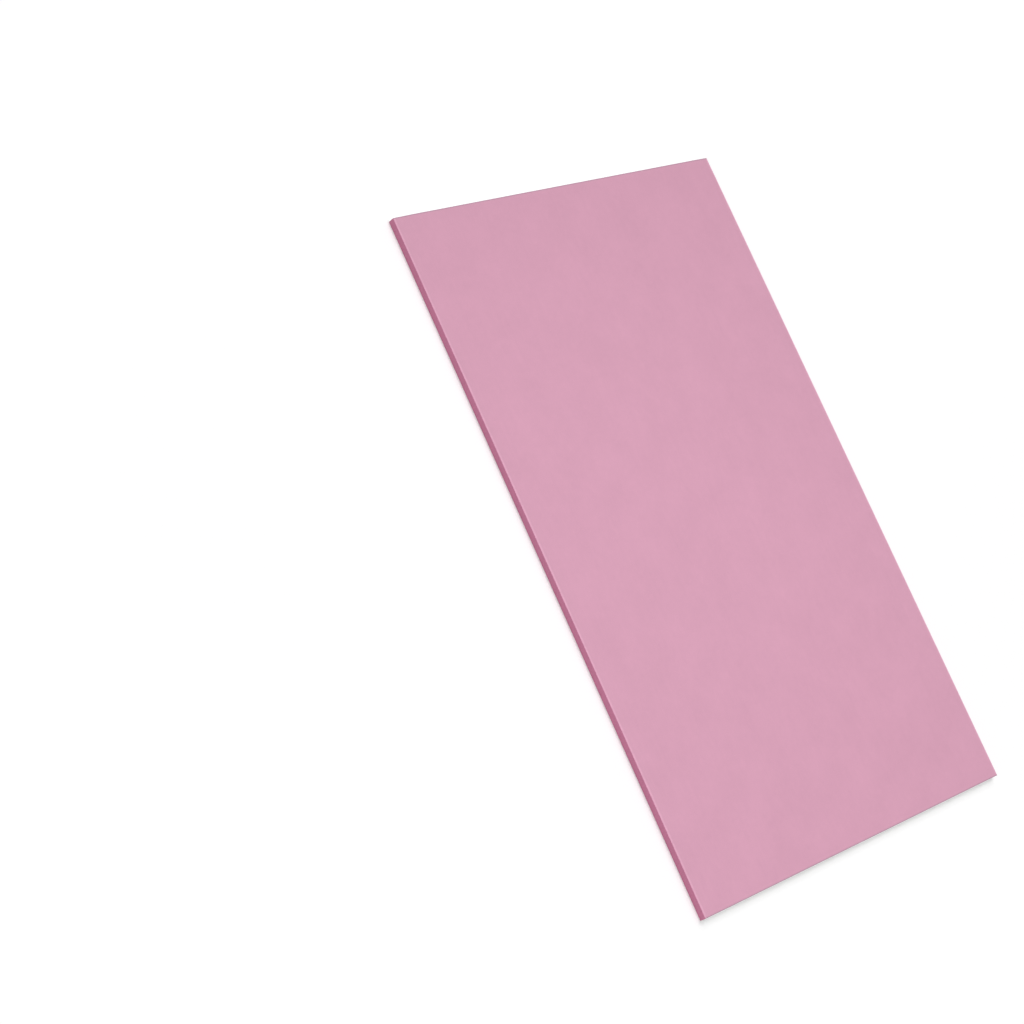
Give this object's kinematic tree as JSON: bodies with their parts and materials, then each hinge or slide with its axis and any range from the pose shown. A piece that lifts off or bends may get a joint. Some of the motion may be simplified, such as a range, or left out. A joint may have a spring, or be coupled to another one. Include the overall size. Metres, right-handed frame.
{
  "type": "drywall sheet",
  "caption": "Full rectangular gypsum wallboard sheet with tapered paper-wrapped long edges and bare cut ends, lying face up.",
  "frame": {"origin": "middle of the back, on the plane the sheet lies on", "axes": "+X across the sheet, +Y along its length, +Z out of the pink face"},
  "size_m": [1.2, 2, 0.025],
  "materials": {
    "gypsum": "matte cast gypsum, sawn at the ends",
    "face_paper": "pink liner paper, matte with a soft sheen",
    "back_paper": "uncoated recycled liner paper, matte"
  },
  "bodies": {
    "root": {"gypsum_core": "gypsum", "face_paper": "face_paper", "back_paper": "back_paper"}
  },
  "joints": []
}
